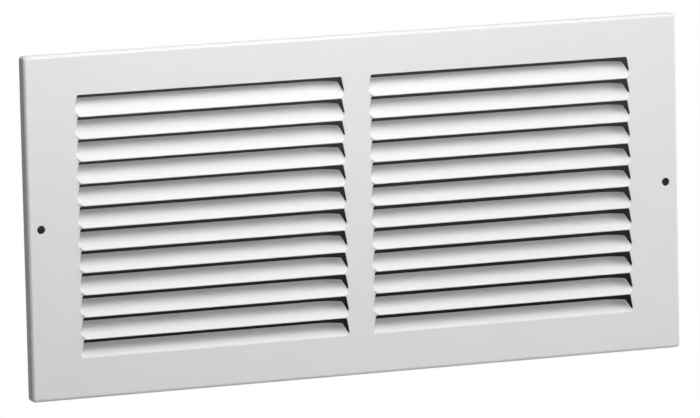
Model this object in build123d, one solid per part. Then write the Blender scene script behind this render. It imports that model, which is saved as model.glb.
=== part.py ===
"""Return air grille for a nominal 14 x 6 in wall opening, in millimetres.

It is one sheet of painted steel. The press cuts and tilts two columns of louvres, pierces a
screw hole at the middle of each side margin, and turns the outer edge back into a rim that
stands the face off the wall. The face looks along -Y, the louvres run along X, and Z is up.
The origin is the middle of the face, half-way between the screw holes.
"""

from build123d import *

import os
from math import cos, radians, sin

INCH = 25.4

# Face and rim
face_width = 15.75 * INCH
face_height = 7.75 * INCH
sheet = 0.7
rim_depth = 7.5
rim_bend_radius = 2.5
outline_corner_radius = 3.0

# Screw holes
hole_spacing = 15.125 * INCH
hole_diameter = 0.1875 * INCH

# Louvre field: the height runs from the highest cut to the lowest bend
louvre_pitch = 0.5 * INCH
louvres_per_column = 12
column_centre = 88.8
cut_length = 159.6
first_cut_height = 75.0

# One louvre, measured down the flat sheet from its own cut
tilt = 38.0
hinge_drop = 0.8 * louvre_pitch
side_cut_drop = 8.3
side_cut_flare = 1.6
end_draw_in = 1.1
lip_corner_radius = 1.0

half_cut = cut_length / 2
flared_half = half_cut + side_cut_flare


def side_reach(drop):
    """Half-width of the pressed area at a drop below the cut, out to the sheet that stays flat."""
    if drop <= side_cut_drop:
        return half_cut + side_cut_flare * drop / side_cut_drop
    return flared_half - side_cut_flare * (drop - side_cut_drop) / (louvre_pitch - side_cut_drop)


def on_louvre(x, drop, behind=0.0):
    """A point of the tilted louvre, from its place on the flat sheet and its depth in the metal."""
    rise = hinge_drop - drop
    angle = radians(tilt)
    depth = rise * sin(angle) + behind * cos(angle)
    height = rise * cos(angle) - behind * sin(angle) - hinge_drop
    return (x, depth, height)


def pressed_blank(inset):
    """The block inside one skin of the sheet: the outer skin has no inset, the inner has one sheet."""
    outline = Plane.XZ * RectangleRounded(
        face_width - 2 * inset, face_height - 2 * inset, outline_corner_radius - inset
    )
    block = Pos(0, inset, 0) * extrude(outline, amount=-rim_depth)
    front_edges = block.faces().sort_by(Axis.Y)[0].edges()
    return fillet(front_edges, rim_bend_radius - inset)


def face_and_rim():
    """The flat face with its edge turned back, open behind, and its two screw holes."""
    face = pressed_blank(0) - pressed_blank(sheet)
    punch = Rot(90, 0, 0) * Cylinder(hole_diameter / 2, 4 * sheet)
    return face - [Pos(side * hole_spacing / 2, 0, 0) * punch for side in (-1, 1)]


def window(lowest_drop, round_corners):
    """What one louvre takes out of the flat sheet, as a prism through the face."""
    right = [(side_reach(drop), -drop) for drop in (0, side_cut_drop, lowest_drop)]
    left = [(-x, z) for x, z in reversed(right)]
    outline = make_face(Polyline(*right, *left, close=True))
    if round_corners:
        outline = fillet(outline.vertices().group_by(Axis.Y)[-1], lip_corner_radius)
    return extrude(Plane.XZ * outline, amount=2 * sheet, both=True)


def louvre(lowest_drop):
    """One tilted louvre with the two twisted ends that join it to the flat sheet."""
    drops = (0, side_cut_drop, lowest_drop)
    skins = (0, sheet)
    right = [(side_reach(drop) - end_draw_in, drop) for drop in drops]
    outline = right + [(-x, drop) for x, drop in right]
    blade = ConvexPolyhedron([on_louvre(x, drop, skin) for x, drop in outline for skin in skins])
    ends = []
    for side in (-1, 1):
        corners = []
        for drop in drops[1:]:
            for skin in skins:
                corners.append((side * side_reach(drop), skin, -drop))
                corners.append(on_louvre(side * (side_reach(drop) - end_draw_in), drop, skin))
        ends.append(ConvexPolyhedron(corners))
    return blade + ends


def grille():
    """The whole pressing: the face, opened by the windows and closed again by the louvres."""
    windows = []
    louvres = []
    inner_louvre = louvre(louvre_pitch)
    lowest_louvre = louvre(hinge_drop)
    for row in range(louvres_per_column):
        is_lowest = row == louvres_per_column - 1
        opening = window(hinge_drop if is_lowest else louvre_pitch, round_corners=row == 0)
        for side in (-1, 1):
            place = Pos(side * column_centre, 0, first_cut_height - row * louvre_pitch)
            windows.append(place * opening)
            louvres.append(place * (lowest_louvre if is_lowest else inner_louvre))
    return (face_and_rim() - windows) + louvres


os.makedirs("parts", exist_ok=True)
body = grille()
body.label = "grille_face"
export_step(body, "parts/grille_face.step")
print("solids", len(body.solids()), "faces", len(body.faces()), "volume", round(body.volume))
print("box", body.bounding_box())
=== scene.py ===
"""The finished look of a return air grille pressed from one sheet of white-enamelled steel.

The sheet is laid out flat as it is before the press closes, with its slits, screw holes and
outline. Each louvre is then tilted about its hinge, its two ends twist back into the flat margin,
and the outer edge turns back into the rim. The skin that results is given the metal's thickness
and softly rounded edges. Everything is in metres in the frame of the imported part: the face looks
along -Y, X runs along the louvres, Z is up.
"""

import logging
import math
from dataclasses import dataclass, field, replace
from enum import Enum

import bmesh
import bpy
from mathutils import Matrix, Vector


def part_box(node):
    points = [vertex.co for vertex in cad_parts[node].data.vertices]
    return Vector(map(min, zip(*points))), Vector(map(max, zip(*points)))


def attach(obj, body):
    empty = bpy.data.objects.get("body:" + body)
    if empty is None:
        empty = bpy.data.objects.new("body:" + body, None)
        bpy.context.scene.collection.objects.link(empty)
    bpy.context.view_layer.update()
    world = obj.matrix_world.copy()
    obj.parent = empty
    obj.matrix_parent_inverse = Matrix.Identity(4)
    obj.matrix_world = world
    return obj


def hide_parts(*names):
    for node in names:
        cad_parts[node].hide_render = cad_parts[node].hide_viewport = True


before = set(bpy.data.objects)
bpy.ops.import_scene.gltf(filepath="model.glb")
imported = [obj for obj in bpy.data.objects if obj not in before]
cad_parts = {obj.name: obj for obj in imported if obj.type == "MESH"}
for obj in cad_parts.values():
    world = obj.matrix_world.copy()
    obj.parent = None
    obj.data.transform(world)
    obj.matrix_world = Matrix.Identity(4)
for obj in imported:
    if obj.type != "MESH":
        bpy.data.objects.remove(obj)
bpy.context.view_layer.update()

NODE = "grille_face"
BODY = "root"
MM = 0.001
FRONT = Vector((0.0, -1.0, 0.0))

log = logging.getLogger("grille")


class Side(Enum):
    """The two mirrored halves of the grille, or the two ends of a louvre."""

    LEFT = -1
    RIGHT = 1


def smooth_step(value: float) -> float:
    """Ease from 0 to 1 with level ends, held at 0 below and at 1 above."""
    held = min(max(value, 0.0), 1.0)
    return held * held * (3.0 - 2.0 * held)


def spread(start: float, stop: float, count: int) -> list[float]:
    """Evenly spaced numbers from start to stop, both included.

    Args:
        start: The first number.
        stop: The last number.
        count: How many steps lie between them.

    Returns:
        count + 1 numbers.
    """
    return [start + (stop - start) * step / count for step in range(count + 1)]


@dataclass
class Skin:
    """The front surface of a sheet: points with their normals, and the faces between them.

    Attributes:
        points: Places in the part's frame, in metres.
        normals: The unit normal at each point, out of the painted front.
        faces: Indices of points, anticlockwise seen from the front.
    """

    points: list[Vector] = field(default_factory=list)
    normals: list[Vector] = field(default_factory=list)
    faces: list[tuple[int, ...]] = field(default_factory=list)

    def add(self, point: Vector, normal: Vector) -> int:
        """Add one point.

        Args:
            point: Its place.
            normal: The normal there, of any length.

        Returns:
            The index of the point.
        """
        self.points.append(point)
        self.normals.append(normal.normalized())
        return len(self.points) - 1

    def add_grid(self, grid: list[list[int]], closed: bool = False) -> None:
        """Add a face between each four neighbours of a grid of points.

        Args:
            grid: Rows of point indices, each row running left to right seen from the front, from
                the highest row to the lowest.
            closed: True where each row is a ring.
        """
        for upper, lower in zip(grid, grid[1:]):
            last = len(upper) if closed else len(upper) - 1
            for k in range(last):
                after = (k + 1) % len(upper)
                self.faces.append((lower[k], lower[after], upper[after], upper[k]))

    def fill_flat(self, loops: list[list[int]]) -> None:
        """Close the flat area between one outer loop and the loops cut out of it.

        Args:
            loops: Closed loops of point indices, all in the plane of the face.
        """
        flat = bmesh.new()
        marks: dict[int, int] = {}
        for loop in loops:
            made = [flat.verts.new(self.points[index]) for index in loop]
            flat.verts.index_update()
            marks.update({vert.index: index for vert, index in zip(made, loop)})
            for vert, after in zip(made, made[1:] + made[:1]):
                flat.edges.new((vert, after))
        bmesh.ops.triangle_fill(flat, use_beauty=True, edges=flat.edges[:], normal=FRONT)
        for face in flat.faces:
            corners = [marks[vert.index] for vert in face.verts]
            face.normal_update()
            if face.normal.dot(FRONT) < 0.0:
                corners.reverse()
            self.faces.append(tuple(corners))
        flat.free()


@dataclass(frozen=True)
class SheetMetal:
    """The stock that the grille is pressed from.

    Attributes:
        thickness: Thickness of the painted sheet.
        edge_radius: Rounding that the enamel gives every cut edge.
        edge_steps: Facets in that rounding.
    """

    thickness: float = 0.7 * MM
    edge_radius: float = 0.14 * MM
    edge_steps: int = 3

    def outward(self, skin: Skin) -> dict[int, Vector]:
        """Find, for each point on a cut edge, the way out of the metal within the sheet.

        Args:
            skin: The front surface.

        Returns:
            The mitred direction for each point on an edge.
        """
        used = set()
        for face in skin.faces:
            used.update(zip(face, face[1:] + face[:1]))
        leads: dict[int, list[Vector]] = {}
        for start, end in used:
            if (end, start) in used:
                continue
            along = skin.points[end] - skin.points[start]
            for index in (start, end):
                out = along.cross(skin.normals[index]).normalized()
                leads.setdefault(index, []).append(out)
        return {index: self.mitre(*outs) for index, outs in leads.items()}

    @staticmethod
    def mitre(first: Vector, second: Vector) -> Vector:
        """Join the outward directions of two neighbouring edges, longer where they turn."""
        return (first + second) / max(1.0 + first.dot(second), 0.5)

    def edge_section(self) -> list[tuple[float, float, float, float]]:
        """Describe the rounded edge from the front skin to the back skin.

        Returns:
            For each step, how far out of the metal and how deep behind the front it lies, then
            the outward and the forward share of its normal.
        """
        radius = self.edge_radius
        section = []
        for angle in spread(0.0, math.pi / 2, self.edge_steps):
            out, forward = math.sin(angle), math.cos(angle)
            section.append((radius * out - radius, radius * (1.0 - forward), out, forward))
        for out_by, depth, out, forward in reversed(section[:]):
            section.append((out_by, self.thickness - depth, out, -forward))
        return section

    def thicken(self, skin: Skin, name: str) -> bpy.types.Object:
        """Give a skin the metal's thickness, with a rounded edge wherever the sheet is cut.

        Args:
            skin: The front surface.
            name: The name of the piece.

        Returns:
            A closed mesh piece.
        """
        outward = self.outward(skin)
        section = self.edge_section()
        places: list[Vector] = []
        normals: list[Vector] = []
        for index, (point, normal) in enumerate(zip(skin.points, skin.normals)):
            out = outward.get(index, Vector()) * self.edge_radius
            places.append(point - out)
            normals.append(normal)
        behind = len(places)
        for index in range(behind):
            places.append(places[index] - skin.normals[index] * self.thickness)
            normals.append(-skin.normals[index])
        rings: dict[int, list[int]] = {}
        for index, out in outward.items():
            first = len(places)
            normal = skin.normals[index]
            for out_by, depth, out_share, forward_share in section[1:-1]:
                places.append(skin.points[index] + out * out_by - normal * depth)
                normals.append((out.normalized() * out_share + normal * forward_share).normalized())
            rings[index] = [index, *range(first, len(places)), index + behind]
        faces = list(skin.faces)
        faces += [tuple(index + behind for index in reversed(face)) for face in skin.faces]
        faces += self.edge_faces(skin, rings)
        mesh = bpy.data.meshes.new(name)
        mesh.from_pydata(places, [], faces)
        mesh.shade_smooth()
        mesh.normals_split_custom_set_from_vertices(normals)
        piece = bpy.data.objects.new(name, mesh)
        bpy.context.scene.collection.objects.link(piece)
        return piece

    @staticmethod
    def edge_faces(skin: Skin, rings: dict[int, list[int]]) -> list[tuple[int, ...]]:
        """Join the edge sections of neighbouring points on every cut edge.

        Args:
            skin: The front surface.
            rings: The indices of each edge point's section, from front to back.

        Returns:
            The faces of the rounded edges.
        """
        used = set()
        for face in skin.faces:
            used.update(zip(face, face[1:] + face[:1]))
        faces = []
        for start, end in sorted(used):
            if (end, start) in used:
                continue
            first, second = rings[start], rings[end]
            for step in range(len(first) - 1):
                faces.append((first[step + 1], second[step + 1], second[step], first[step]))
        return faces


@dataclass(frozen=True)
class Louvre:
    """One louvre, laid out on the flat sheet by its distance along X and its drop below its slit.

    Attributes:
        pitch: Distance from one slit to the next.
        cut_length: Length of the slit's level part.
        side_drop: Drop at which the slit's slanting ends stop.
        side_flare: How much further out they are there than at the top.
        corner_radius: Rounding where the level part meets the slanting ends.
        hinge_drop: Drop of the line about which the louvre tilts.
        tilt: Angle of the tilted metal from the flat face.
        edge_lean: How much further the free edge is turned than the rest.
        end_sag: How far the free edge is drawn down at its right-hand end.
        sag_reach: Length over which it comes down towards that end.
        twist_width: Width over which an end turns from flat to fully tilted.
        crease_bulge: How late the crease turns in on its way down; 1 gives a straight crease.
        draw_in: How far the tilted metal is drawn in from the slit's end.
        bend_radius: Outer radius where the lowest louvre meets the flat face.
    """

    pitch: float = 12.7 * MM
    cut_length: float = 159.6 * MM
    side_drop: float = 8.3 * MM
    side_flare: float = 1.6 * MM
    corner_radius: float = 1.0 * MM
    hinge_drop: float = 0.8 * 12.7 * MM
    tilt: float = math.radians(38.0)
    edge_lean: float = math.radians(1.5)
    end_sag: float = 1.0 * MM
    sag_reach: float = 16.0 * MM
    twist_width: float = 1.0 * MM
    crease_bulge: float = 2.4
    draw_in: float = 0.15 * MM
    bend_radius: float = 1.4 * MM

    @property
    def half_cut(self) -> float:
        """Half the length of the slit's level part, to the sharp corner."""
        return self.cut_length / 2

    @property
    def slant(self) -> float:
        """Angle of the slit's slanting end from upright."""
        return math.atan2(self.side_flare, self.side_drop)

    @property
    def setback(self) -> float:
        """Distance from the sharp corner to where the rounding starts, both ways."""
        return self.corner_radius / math.tan((math.pi / 2 + self.slant) / 2)

    @property
    def corner_centre(self) -> tuple[float, float]:
        """Centre of the rounding at the right-hand corner, as distance along X and drop."""
        return (self.half_cut - self.setback, self.corner_radius)

    @property
    def corner_middle(self) -> tuple[float, float]:
        """The middle of the rounding, as distance along X and drop."""
        turn = (math.pi / 2 - self.slant) / 2
        x, drop = self.corner_centre
        return (x + self.corner_radius * math.sin(turn), drop - self.corner_radius * math.cos(turn))

    def slit_drop(self, x: float) -> float:
        """Drop of the slit's upper run below its level part at a distance along X."""
        beyond = abs(x) - self.corner_centre[0]
        if beyond <= 0.0:
            return 0.0
        reach = min(beyond, self.corner_radius)
        return self.corner_radius - math.sqrt(self.corner_radius**2 - reach**2)

    def slit_reach(self, drop: float) -> float:
        """Half-width of the slit's outline at a drop between its rounded corner and its end."""
        centre_x, centre_drop = self.corner_centre
        tangent_drop = centre_drop - self.corner_radius * math.sin(self.slant)
        if drop >= tangent_drop:
            return self.half_cut + self.side_flare * drop / self.side_drop
        rise = min(centre_drop - drop, self.corner_radius)
        return centre_x + math.sqrt(self.corner_radius**2 - rise**2)

    def slit_tip(self) -> Vector:
        """The lower end of the slit's right-hand slanting run, as distance along X and drop."""
        return Vector((self.half_cut + self.side_flare, self.side_drop))

    def crease_end(self) -> Vector:
        """Where the right-hand crease meets the rounded corner of the next slit."""
        x, drop = self.corner_middle
        return Vector((x, self.pitch + drop))

    def crease_reach(self, drop: float) -> float:
        """Half-width of the crease, which runs down from the tip and turns in to the next slit."""
        tip, end = self.slit_tip(), self.crease_end()
        share = max((drop - tip.y) / (end.y - tip.y), 0.0)
        return tip.x + (end.x - tip.x) * share**self.crease_bulge

    def turned(self, x: float, drop: float) -> float:
        """How far a point has turned from flat, 0, to fully tilted, 1."""
        inside = self.crease_reach(drop) - abs(x)
        above = max(self.side_drop - drop, 0.0)
        return smooth_step(math.hypot(inside, above) / self.twist_width)

    def sag(self, x: float) -> float:
        """How far the free edge is drawn down at a distance along X."""
        near_end = max(1.0 - (self.half_cut - x) / self.sag_reach, 0.0)
        return self.end_sag * near_end**2

    def press(self, x: float, drop: float, is_lowest: bool) -> Vector:
        """Move a point of the flat sheet to where the press leaves it.

        Args:
            x: Its distance from the middle of the louvre.
            drop: Its drop below the louvre's slit.
            is_lowest: True for the last louvre of a column, which bends out of the flat face.

        Returns:
            Its place, with the middle of the slit's level part at the origin.
        """
        turned = self.turned(x, drop)
        near_edge = max(1.0 - drop / self.hinge_drop, 0.0)
        angle = (self.tilt + self.edge_lean * near_edge) * turned
        across = x * (1.0 - self.draw_in * turned / self.half_cut)
        rise = self.hinge_drop - drop
        sunk = self.hinge_drop + self.sag(x) * near_edge * turned
        if not is_lowest:
            return Vector((across, rise * math.sin(angle), rise * math.cos(angle) - sunk))
        arc = self.bend_radius * angle
        start = rise + self.bend_radius * math.tan(self.tilt / 2) * turned
        if start <= 0.0:
            return Vector((across, 0.0, -drop))
        if start < arc:
            back = self.bend_radius * (1.0 - math.cos(start / self.bend_radius))
            up = self.bend_radius * math.sin(start / self.bend_radius)
        else:
            back = self.bend_radius * (1.0 - math.cos(angle)) + (start - arc) * math.sin(angle)
            up = self.bend_radius * math.sin(angle) + (start - arc) * math.cos(angle)
        return Vector((across, back, up - start + rise - sunk))

    def normal(self, x: float, drop: float, is_lowest: bool) -> Vector:
        """The front normal of the pressed sheet at a point of the flat one.

        Args:
            x: Its distance from the middle of the louvre.
            drop: Its drop below the louvre's slit.
            is_lowest: True for the last louvre of a column.

        Returns:
            The normal, not scaled to length 1.
        """
        step = 0.01 * MM
        across = self.press(x + step, drop, is_lowest) - self.press(x - step, drop, is_lowest)
        down = self.press(x, drop + step, is_lowest) - self.press(x, drop - step, is_lowest)
        return down.cross(across)


@dataclass(frozen=True)
class LouvreColumn:
    """A column of louvres, one below the other, between two flat margins.

    Attributes:
        louvre: The form of each louvre.
        centre: Distance of the column's middle from the middle of the face.
        first_cut: Height of the highest slit above the middle of the face.
        count: How many louvres the column has.
        extra_tilt: How much further the lower louvres stand open than the highest ones.
        end_steps: Distances in from each end at which the mesh is divided.
        middle_parts: Parts that the rest of each louvre's length is divided into.
        side_parts: Parts from the slit to the end of its slanting run.
        crease_parts: Parts from there to the next slit.
    """

    louvre: Louvre
    centre: float
    first_cut: float = 75.0 * MM
    count: int = 12
    extra_tilt: float = math.radians(4.0)
    end_steps: tuple[float, ...] = (
        *(0.0, 0.16, 0.34, 0.54, 0.76, 1.0, 1.3, 1.65, 2.05, 2.5, 3.2, 4.5),
        *(6.5, 9.0, 12.0, 15.5, 20.0, 26.0),
    )
    middle_parts: int = 6
    side_parts: int = 14
    crease_parts: int = 10

    def shares(self) -> list[float]:
        """Places along a louvre's length where its mesh is divided, from -1 to 1."""
        half = self.louvre.half_cut
        right = [1.0 - step * MM / half for step in self.end_steps]
        left = [-share for share in right]
        middle = spread(left[-1], right[-1], self.middle_parts)
        return left + middle[1:-1] + right[::-1]

    def lay_louvre(self, skin: Skin, row: int) -> list[list[int]]:
        """Lay out and press one louvre.

        Args:
            skin: The surface that the louvre is added to.
            row: 0 for the highest louvre.

        Returns:
            The louvre's grid of point indices, from its free top edge down.
        """
        extra = self.extra_tilt * smooth_step((row - 2.5) / 3.5)
        louvre = replace(self.louvre, tilt=self.louvre.tilt + extra)
        is_lowest = row == self.count - 1
        slit_middle_drop = louvre.corner_middle[1]
        lower_end = louvre.crease_end().y
        if is_lowest:
            lower_end = louvre.hinge_drop + louvre.bend_radius * math.tan(louvre.tilt / 2)
        end_drops = spread(slit_middle_drop, louvre.side_drop, self.side_parts)
        end_drops += spread(louvre.side_drop, lower_end, self.crease_parts)[1:]
        origin = Vector((self.centre, 0.0, self.first_cut - row * louvre.pitch))
        grid = []
        for place, end_drop in enumerate(end_drops):
            on_crease = place >= self.side_parts
            reach = louvre.crease_reach(end_drop) if on_crease else louvre.slit_reach(end_drop)
            along = (end_drop - slit_middle_drop) / (lower_end - slit_middle_drop)
            line = []
            for share in self.shares():
                x = share * reach
                flat_x = share * louvre.corner_middle[0]
                top = louvre.slit_drop(flat_x)
                bottom = lower_end if is_lowest else louvre.pitch + top
                drop = top + (bottom - top) * along
                if abs(share) == 1.0:
                    drop = end_drop
                point = origin + louvre.press(x, drop, is_lowest)
                line.append(skin.add(point, louvre.normal(x, drop, is_lowest)))
            grid.append(line)
        skin.add_grid(grid)
        return grid

    def lay(self, skin: Skin) -> list[int]:
        """Lay out and press the whole column.

        Args:
            skin: The surface that the column is added to.

        Returns:
            The loop of point indices where the column meets the flat face round it.
        """
        louvre = self.louvre
        top_lip = []
        for share in self.shares():
            x = share * louvre.corner_middle[0]
            spot = Vector((self.centre + x, 0.0, self.first_cut - louvre.slit_drop(x)))
            top_lip.append(skin.add(spot, FRONT))
        sides: dict[Side, list[int]] = {Side.LEFT: [], Side.RIGHT: []}
        bottom: list[int] = []
        for row in range(self.count):
            grid = self.lay_louvre(skin, row)
            height = self.first_cut - row * louvre.pitch
            slit_drops = spread(louvre.corner_middle[1], louvre.side_drop, self.side_parts)
            for side, run in sides.items():
                end = 0 if side is Side.LEFT else -1
                for drop in slit_drops[1:-1]:
                    x = self.centre + side.value * louvre.slit_reach(drop)
                    run.append(skin.add(Vector((x, 0.0, height - drop)), FRONT))
                run += [line[end] for line in grid[self.side_parts :]]
            bottom = grid[-1]
        return top_lip + sides[Side.RIGHT] + bottom[-2:0:-1] + sides[Side.LEFT][::-1]


@dataclass(frozen=True)
class Rim:
    """The outline of the face, turned back all round to stand off the wall.

    Attributes:
        width: Overall width of the face.
        height: Overall height of the face.
        depth: How far the rim reaches behind the face's front.
        bend_radius: Outer radius of the bend.
        corner_radius: Radius of the outline's corners seen from the front.
        bend_parts: Facets in the bend.
        corner_parts: Facets in each corner.
    """

    width: float
    height: float
    depth: float
    bend_radius: float = 2.0 * MM
    corner_radius: float = 2.3 * MM
    bend_parts: int = 12
    corner_parts: int = 12

    def ring(self, skin: Skin, inset: float, depth: float, lean: float) -> list[int]:
        """Add one ring of points round the outline.

        Args:
            skin: The surface that the ring is added to.
            inset: How far inside the overall outline it lies.
            depth: How far behind the face's front it lies.
            lean: Angle of the surface there from the flat face.

        Returns:
            The ring's point indices, clockwise seen from the front.
        """
        radius = self.corner_radius - inset
        across = self.width / 2 - self.corner_radius
        upright = self.height / 2 - self.corner_radius
        corners = ((-1, 1), (1, 1), (1, -1), (-1, -1))
        ring = []
        for quarter, (side, level) in enumerate(corners):
            for turn in spread(0.0, math.pi / 2, self.corner_parts):
                angle = math.pi - quarter * math.pi / 2 - turn
                out = Vector((math.cos(angle), 0.0, math.sin(angle)))
                centre = Vector((side * across, depth, level * upright))
                normal = FRONT * math.cos(lean) + out * math.sin(lean)
                ring.append(skin.add(centre + out * radius, normal))
        return ring

    def lay(self, skin: Skin) -> list[int]:
        """Lay out the bend and the wall of the rim.

        Args:
            skin: The surface that the rim is added to.

        Returns:
            The loop of point indices where the rim meets the flat face.
        """
        rings = []
        for lean in spread(0.0, math.pi / 2, self.bend_parts):
            inset = self.bend_radius * (1.0 - math.sin(lean))
            depth = self.bend_radius * (1.0 - math.cos(lean))
            rings.append(self.ring(skin, inset, depth, lean))
        rings.append(self.ring(skin, 0.0, self.depth, math.pi / 2))
        skin.add_grid(rings[::-1], closed=True)
        return rings[0]


@dataclass(frozen=True)
class ScrewHole:
    """A round hole pierced through the face for a fixing screw.

    Attributes:
        x: Distance of its centre from the middle of the face.
        diameter: Its diameter.
        parts: Facets round it.
    """

    x: float
    diameter: float = 0.1875 * 25.4 * MM
    parts: int = 48

    def lay(self, skin: Skin) -> list[int]:
        """Add the hole's edge to a surface and return its loop of point indices."""
        loop = []
        for turn in range(self.parts):
            angle = 2.0 * math.pi * turn / self.parts
            out = Vector((math.cos(angle), 0.0, math.sin(angle)))
            loop.append(skin.add(Vector((self.x, 0.0, 0.0)) + out * self.diameter / 2, FRONT))
        return loop


@dataclass(frozen=True)
class Grille:
    """The whole pressing: rim, face, screw holes and two columns of louvres.

    Attributes:
        metal: The sheet it is pressed from.
        rim: The outline and its turned-back edge.
        columns: The louvre columns.
        holes: The screw holes.
    """

    metal: SheetMetal
    rim: Rim
    columns: tuple[LouvreColumn, ...]
    holes: tuple[ScrewHole, ...]

    def build(self) -> bpy.types.Object:
        """Press the sheet and return the closed piece."""
        skin = Skin()
        loops = [self.rim.lay(skin)]
        loops += [column.lay(skin) for column in self.columns]
        loops += [hole.lay(skin) for hole in self.holes]
        skin.fill_flat(loops)
        return self.metal.thicken(skin, "enamelled_grille")


class Shade:
    """A shader value that can be used in an ordinary arithmetic expression."""

    def __init__(self, board: "ShaderBoard", socket: bpy.types.NodeSocket) -> None:
        """Hold one output socket and the board it is on."""
        self.board = board
        self.socket = socket

    def __add__(self, other: "Shade | float") -> "Shade":
        """The sum with another value."""
        return self.board.math("ADD", self, other)

    def __sub__(self, other: "Shade | float") -> "Shade":
        """The difference from another value."""
        return self.board.math("SUBTRACT", self, other)

    def __rsub__(self, other: float) -> "Shade":
        """A number less this value."""
        return self.board.math("SUBTRACT", other, self)

    def __mul__(self, other: "Shade | float") -> "Shade":
        """The product with another value."""
        return self.board.math("MULTIPLY", self, other)

    def __truediv__(self, other: "Shade | float") -> "Shade":
        """The quotient by another value."""
        return self.board.math("DIVIDE", self, other)

    __radd__ = __add__
    __rmul__ = __mul__

    def at_most(self, limit: float) -> "Shade":
        """This value, held down to a limit."""
        return self.board.math("MINIMUM", self, limit)


class ShaderBoard:
    """A node tree that nodes are added to by type, with their settings and their inputs."""

    def __init__(self, tree: bpy.types.NodeTree) -> None:
        """Clear the tree and hold it."""
        tree.nodes.clear()
        self.tree = tree

    def node(
        self,
        kind: str,
        settings: dict[str, object] | None = None,
        inputs: dict[str | int, object] | None = None,
    ) -> bpy.types.Node:
        """Add one node.

        Args:
            kind: The node's type.
            settings: Its own settings, set first.
            inputs: A value or a Shade for each socket, by name or by number.

        Returns:
            The node.
        """
        node = self.tree.nodes.new(kind)
        for key, value in (settings or {}).items():
            setattr(node, key, value)
        for key, value in (inputs or {}).items():
            socket = node.inputs[key]
            if isinstance(value, Shade):
                self.tree.links.new(value.socket, socket)
            else:
                socket.default_value = value
        return node

    def read(self, node: bpy.types.Node, output: str | int = 0) -> Shade:
        """Wrap one output of a node."""
        return Shade(self, node.outputs[output])

    def math(self, operation: str, first: object, second: object) -> Shade:
        """Add a Math node on two values and wrap its result."""
        return self.read(self.node("ShaderNodeMath", {"operation": operation}, {0: first, 1: second}))

    def mix_colours(self, share: Shade, first: tuple, second: tuple) -> Shade:
        """Blend two colours by a shader value.

        Args:
            share: 0 for the first colour, 1 for the second.
            first: A colour.
            second: A colour.

        Returns:
            The blended colour.
        """
        settings = {"data_type": "RGBA"}
        mixer = self.node("ShaderNodeMix", settings, {"Factor": share})
        mixer.inputs[6].default_value = (*first, 1.0)
        mixer.inputs[7].default_value = (*second, 1.0)
        return self.read(mixer, 2)

    def noise(self, where: Shade, scale: float, detail: float, roughness: float = 0.5) -> Shade:
        """Add a noise texture and wrap its value, which runs from 0 to 1.

        Args:
            where: The coordinates it is read at.
            scale: Its cells to the metre.
            detail: Octaves of finer noise.
            roughness: Strength of the finer noise.

        Returns:
            The noise value.
        """
        inputs = {"Vector": where, "Scale": scale, "Detail": detail, "Roughness": roughness}
        return self.read(self.node("ShaderNodeTexNoise", None, inputs), 0)

    def object_place(self) -> Shade:
        """The place on the object, in metres."""
        return self.read(self.node("ShaderNodeTexCoord"), "Object")

    def surface(self, shader: Shade) -> None:
        """Send a shader to the material's or the world's output."""
        kind = "ShaderNodeOutputWorld" if self.tree.id_data.id_type == "WORLD" else None
        self.node(kind or "ShaderNodeOutputMaterial", None, {"Surface": shader})


def new_board(name: str) -> tuple[bpy.types.Material, ShaderBoard]:
    """Make an empty node material.

    Args:
        name: Its name.

    Returns:
        The material, and the board its nodes go on.
    """
    material = bpy.data.materials.new(name)
    material.use_nodes = True
    return material, ShaderBoard(material.node_tree)


@dataclass(frozen=True)
class WhiteEnamel:
    """Baked white enamel on steel: semi-gloss, with faint orange peel and slightly uneven cover.

    Attributes:
        colour: The enamel where it lies thick.
        thin_colour: The enamel where it lies thin.
        roughness: Mean roughness of its gloss.
        roughness_spread: How much the roughness varies.
        peel_cells: Cells of orange peel to the metre.
        peel_height: Height of the orange peel.
        grain_cells: Cells of fine pigment grain to the metre.
        grain_height: Height of the grain.
    """

    colour: tuple[float, float, float] = (0.80, 0.80, 0.80)
    thin_colour: tuple[float, float, float] = (0.765, 0.766, 0.768)
    roughness: float = 0.46
    roughness_spread: float = 0.10
    peel_cells: float = 620.0
    peel_height: float = 0.006 * MM
    grain_cells: float = 5200.0
    grain_height: float = 0.0012 * MM

    def make(self) -> bpy.types.Material:
        """Make the material."""
        material, board = new_board("white_enamel")
        where = board.object_place()
        cover = board.noise(where, 26.0, 3.0, 0.55)
        peel = board.noise(where, self.peel_cells, 2.0, 0.45)
        grain = board.noise(where, self.grain_cells, 1.0)
        roughness = self.roughness + (cover - 0.5) * self.roughness_spread + (grain - 0.5) * 0.04
        height = peel * self.peel_height + grain * self.grain_height
        bump = board.node("ShaderNodeBump", None, {"Strength": 1.0, "Distance": 1.0, "Height": height})
        inputs = {
            "Base Color": board.mix_colours(cover, self.thin_colour, self.colour),
            "Roughness": roughness,
            "Normal": board.read(bump),
            "IOR": 1.45,
        }
        board.surface(board.read(board.node("ShaderNodeBsdfPrincipled", None, inputs)))
        return material


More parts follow.
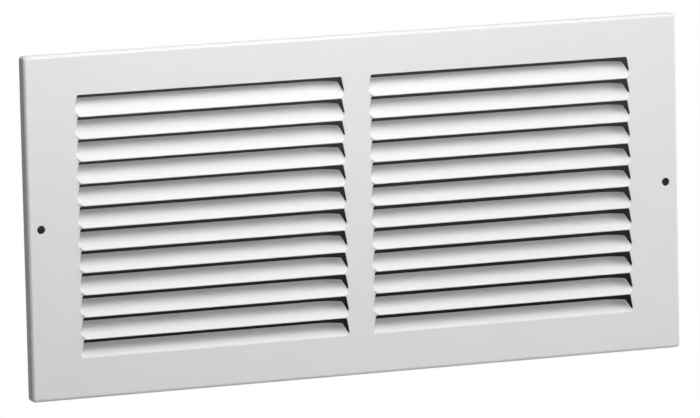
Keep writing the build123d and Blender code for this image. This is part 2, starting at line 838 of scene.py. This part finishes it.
@dataclass(frozen=True)
class PaleFloor:
    """A pale matt floor that runs out to pure white, and keeps a soft shadow near the object.

    Attributes:
        colour: Its colour.
        near: Distance from the middle up to which it is plain paint.
        far: Distance beyond which the camera sees pure white.
    """

    colour: tuple[float, float, float] = (0.82, 0.82, 0.82)
    near: float = 0.65
    far: float = 1.2

    def make(self) -> bpy.types.Material:
        """Make the material."""
        material, board = new_board("pale_floor")
        paths = board.node("ShaderNodeLightPath")
        seen = board.read(paths, "Is Camera Ray") + board.read(paths, "Is Glossy Ray")
        seen = (seen + board.read(paths, "Is Transmission Ray")).at_most(1.0)
        length = board.node("ShaderNodeVectorMath", {"operation": "LENGTH"}, {0: board.object_place()})
        limits = {"Value": board.read(length, "Value"), "From Min": self.near, "From Max": self.far}
        settings = {"interpolation_type": "SMOOTHSTEP", "clamp": True}
        away = board.read(board.node("ShaderNodeMapRange", settings, {**limits, "To Min": 0.35}))
        matt = board.node("ShaderNodeBsdfDiffuse", None, {"Color": (*self.colour, 1.0)})
        white = board.node("ShaderNodeEmission", None, {"Color": (1.0, 1.0, 1.0, 1.0)})
        shaders = {0: seen * away, 1: board.read(matt), 2: board.read(white)}
        board.surface(board.read(board.node("ShaderNodeMixShader", None, shaders)))
        return material


@dataclass(frozen=True)
class PaintedSlotShade:
    """A near-black glowing sheet of painted shade, the dark that shows through the slots, painted a
    little paler at its far end.

    Attributes:
        near_colour: The painted shade seen at its near end.
        far_colour: The painted shade seen at its far end.
        near: Distance of the near end behind the face.
        far: Distance of the far end behind the face.
    """

    near_colour: tuple[float, float, float] = (0.011, 0.011, 0.011)
    far_colour: tuple[float, float, float] = (0.042, 0.042, 0.042)
    near: float = 3.0
    far: float = 5.0

    def make(self) -> bpy.types.Material:
        """Make the material."""
        material, board = new_board("painted_slot_shade")
        place = board.node("ShaderNodeSeparateXYZ", None, {"Vector": board.object_place()})
        away = (board.read(place, "Y") - self.near) / (self.far - self.near)
        # Painted shade: the sheet glows faintly, from near-black to dark grey along its length,
        # whatever the lamps do.
        colour = board.mix_colours(away, self.near_colour, self.far_colour)
        shade_glow = board.node("ShaderNodeEmission", None, {"Color": colour})
        board.surface(board.read(shade_glow))
        return material


@dataclass(frozen=True)
class ViewCamera:
    """The camera of the main view, given by where it stands round the middle of the face.

    Attributes:
        azimuth: Angle to the left of straight ahead.
        elevation: Angle above level.
        roll: Turn of the picture, anticlockwise.
        distance: Distance from the middle of the face along the line of view.
        slide: How far right and up the middle of the face lies in the camera's own directions.
        lens: Focal length in millimetres.
        sensor: Width of the film in millimetres.
    """

    azimuth: float = math.radians(21.04)
    elevation: float = math.radians(8.19)
    roll: float = math.radians(-1.29)
    distance: float = 3.811
    slide: tuple[float, float] = (5.2 * MM, 2.0 * MM)
    lens: float = 341.9
    sensor: float = 36.0

    def directions(self) -> tuple[Vector, Vector, Vector]:
        """The camera's right, up and forward directions."""
        ahead = Vector((math.sin(self.azimuth), math.cos(self.azimuth), 0.0))
        forward = ahead * math.cos(self.elevation) - Vector((0.0, 0.0, math.sin(self.elevation)))
        level = Vector((math.cos(self.azimuth), -math.sin(self.azimuth), 0.0))
        upright = level.cross(forward)
        right = level * math.cos(self.roll) + upright * math.sin(self.roll)
        up = upright * math.cos(self.roll) - level * math.sin(self.roll)
        return right, up, forward

    def place(self) -> Vector:
        """Where the camera stands."""
        right, up, forward = self.directions()
        return -right * self.slide[0] - up * self.slide[1] - forward * self.distance

    def build(self) -> bpy.types.Object:
        """Make the camera and make it the scene's own."""
        right, up, forward = self.directions()
        data = bpy.data.cameras.new("main_view")
        data.lens = self.lens
        data.sensor_width = self.sensor
        data.clip_start, data.clip_end = 0.05, 60.0
        camera = bpy.data.objects.new("main_view", data)
        turn = Matrix((right, up, -forward)).transposed()
        camera.matrix_world = Matrix.Translation(self.place()) @ turn.to_4x4()
        bpy.context.scene.collection.objects.link(camera)
        bpy.context.scene.camera = camera
        return camera


@dataclass(frozen=True)
class SoftLamp:
    """A square soft-box that looks at a point.

    Attributes:
        name: Its name.
        place: Where it stands.
        target: The point it looks at.
        size: Its side.
        power: Its power in watts.
    """

    name: str
    place: tuple[float, float, float]
    target: tuple[float, float, float]
    size: float
    power: float

    def build(self) -> bpy.types.Object:
        """Make the lamp."""
        data = bpy.data.lights.new(self.name, "AREA")
        data.shape = "SQUARE"
        data.size = self.size
        data.energy = self.power
        lamp = bpy.data.objects.new(self.name, data)
        lamp.location = self.place
        look = Vector(self.target) - Vector(self.place)
        lamp.rotation_mode = "QUATERNION"
        lamp.rotation_quaternion = look.to_track_quat("-Z", "Y")
        lamp.visible_camera = False
        bpy.context.scene.collection.objects.link(lamp)
        return lamp


@dataclass(frozen=True)
class Studio:
    """The pale floor, a sheet of painted shade seen through the slots, the lamps and the white
    surroundings.

    Attributes:
        camera: The camera of the main view.
        lamps: The soft lamps.
        floor_height: Height of the floor.
        floor_reach: Half the side of the floor.
        ambient: Strength of the surroundings' light on the object.
        slot_window: Half-width and half-height of the area of the face that has openings.
    """

    camera: ViewCamera
    lamps: tuple[SoftLamp, ...]
    floor_height: float = -0.6
    floor_reach: float = 14.0
    ambient: float = 0.04
    slot_window: tuple[float, float] = (196.0 * MM, 82.0 * MM)

    def flat_piece(self, name: str, corners: list[Vector], material: bpy.types.Material) -> None:
        """Lay one flat stage piece.

        Args:
            name: Its name.
            corners: Its corners, anticlockwise seen from above.
            material: Its material.
        """
        mesh = bpy.data.meshes.new(name)
        mesh.from_pydata(corners, [], [tuple(range(len(corners)))])
        mesh.materials.append(material)
        piece = bpy.data.objects.new(name, mesh)
        bpy.context.scene.collection.objects.link(piece)

    def lay_floor(self) -> None:
        """Lay the floor."""
        reach = self.floor_reach
        corners = [(-reach, -reach), (reach, -reach), (reach, reach), (-reach, reach)]
        spots = [Vector((x, y, self.floor_height)) for x, y in corners]
        self.flat_piece("floor", spots, PaleFloor().make())

    def lay_slot_shade_sheet(self) -> None:
        """Lay the sheet of painted shade on the floor where the lines of view through the slots end,
        so the slots look dark.
        """
        eye = self.camera.place()
        level = self.floor_height + 1.0 * MM
        spots = []
        for side, rise in ((-1, -1), (1, -1), (1, 1), (-1, 1)):
            corner = Vector((side * self.slot_window[0], 0.0, rise * self.slot_window[1]))
            line = corner - eye
            spots.append(eye + line * ((level - eye.z) / line.z))
        self.flat_piece("painted_slot_shade", spots, PaintedSlotShade().make())

    def light_world(self) -> None:
        """Make the surroundings: plain light on the object, white to the camera."""
        world = bpy.data.worlds.new("surroundings")
        world.use_nodes = True
        board = ShaderBoard(world.node_tree)
        paths = board.node("ShaderNodeLightPath")
        seen = board.read(paths, "Is Camera Ray") + board.read(paths, "Is Glossy Ray")
        seen = (seen + board.read(paths, "Is Transmission Ray")).at_most(1.0)
        strength = seen * (1.0 - self.ambient) + self.ambient
        inputs = {"Color": (1.0, 1.0, 1.0, 1.0), "Strength": strength}
        background = board.node("ShaderNodeBackground", None, inputs)
        board.node("ShaderNodeOutputWorld", None, {"Surface": board.read(background)})
        bpy.context.scene.world = world

    def build(self) -> None:
        """Build the whole studio."""
        bpy.context.scene.view_settings.view_transform = "Standard"
        self.camera.build()
        self.lay_floor()
        self.lay_slot_shade_sheet()
        self.light_world()
        for lamp in self.lamps:
            lamp.build()


def make_grille() -> Grille:
    """Describe the grille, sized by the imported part."""
    low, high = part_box(NODE)
    leans = {Side.LEFT: math.radians(1.5), Side.RIGHT: math.radians(3.0)}
    columns = tuple(
        LouvreColumn(Louvre(edge_lean=leans[side]), side.value * 88.8 * MM) for side in Side
    )
    holes = tuple(ScrewHole(side.value * 15.125 / 2 * 25.4 * MM) for side in Side)
    rim = Rim(width=high.x - low.x, height=high.z - low.z, depth=high.y)
    return Grille(SheetMetal(), rim, columns, holes)


def main() -> None:
    """Build the grille, dress it and set it in the studio."""
    logging.basicConfig(level=logging.INFO, format="%(name)s: %(message)s")
    piece = make_grille().build()
    piece.data.materials.append(WhiteEnamel().make())
    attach(piece, BODY)
    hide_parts(NODE)
    log.info("%s: %d points, %d faces", piece.name, len(piece.data.vertices), len(piece.data.polygons))
    middle = (0.0, 0.0, 0.0)
    lamps = (
        SoftLamp("key", (-0.15, -0.40, 0.45), middle, 0.3, 1.43),
        SoftLamp("side", (1.2, -0.5, 0.3), middle, 0.5, 6.1),
        SoftLamp("low_side", (1.3, -0.4, 0.05), middle, 0.5, 1.15),
        SoftLamp("upper_right", (0.2, -0.43, 0.82), middle, 0.5, 2.95),
        SoftLamp("top", (0.0, -0.25, 0.9), middle, 0.4, 1.3),
        SoftLamp("low_front", (0.0, -1.5, -0.05), middle, 0.3, 4.2),
        SoftLamp("back", (0.0, 0.8, 0.9), middle, 0.7, 1.74),
    )
    Studio(ViewCamera(), lamps).build()
    log.info("studio built")


if __name__ == "__main__":
    main()
